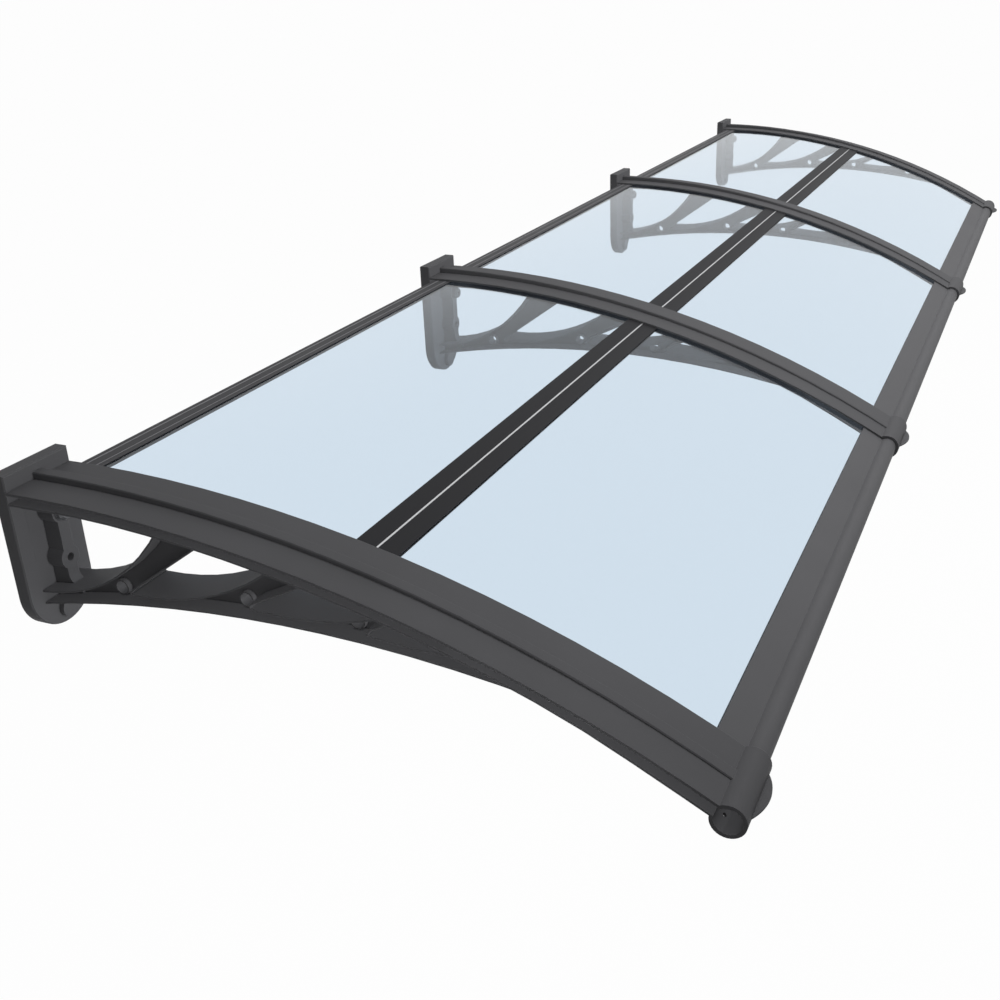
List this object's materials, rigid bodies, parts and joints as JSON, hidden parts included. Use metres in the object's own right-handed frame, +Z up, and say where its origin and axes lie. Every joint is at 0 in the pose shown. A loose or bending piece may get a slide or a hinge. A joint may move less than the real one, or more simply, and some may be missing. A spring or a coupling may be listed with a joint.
{
  "type": "polycarbonate door canopy",
  "caption": "Wall-hung door canopy: moulded curved brackets hold clear bent sheets between metal rails, with a round rail along the front.",
  "frame": {"origin": "on the wall plane, midway along the canopy, at the level of the wall bolts", "axes": "+X along the wall to the right as seen from the street, +Y into the wall, +Z up"},
  "size_m": [3, 0.833, 0.245],
  "materials": {
    "bracket_plastic": "satin",
    "rail_metal": "satin",
    "bar_metal": "satin",
    "clear_sheet": "polished",
    "fastener_steel": "satin"
  },
  "bodies": {
    "root": {"bracket_1": "bracket_plastic", "wall_bolt_1": "fastener_steel", "bolt_washer_1": "fastener_steel", "bracket_2": "bracket_plastic", "wall_bolt_2": "fastener_steel", "bolt_washer_2": "fastener_steel", "bracket_3": "bracket_plastic", "wall_bolt_3": "fastener_steel", "bolt_washer_3": "fastener_steel", "bracket_4": "bracket_plastic", "wall_bolt_4": "fastener_steel", "bolt_washer_4": "fastener_steel", "rear_rail_1": "rail_metal", "joint_bar_1": "bar_metal", "front_rail_1": "rail_metal", "rear_sheet_1": "clear_sheet", "front_sheet_1": "clear_sheet", "rail_screw_1_1": "fastener_steel", "rail_screw_1_2": "fastener_steel", "rear_rail_2": "rail_metal", "joint_bar_2": "bar_metal", "front_rail_2": "rail_metal", "rear_sheet_2": "clear_sheet", "front_sheet_2": "clear_sheet", "rail_screw_2_1": "fastener_steel", "rail_screw_2_2": "fastener_steel", "rear_rail_3": "rail_metal", "joint_bar_3": "bar_metal", "front_rail_3": "rail_metal", "rear_sheet_3": "clear_sheet", "front_sheet_3": "clear_sheet", "rail_screw_3_1": "fastener_steel", "rail_screw_3_2": "fastener_steel"}
  },
  "joints": []
}
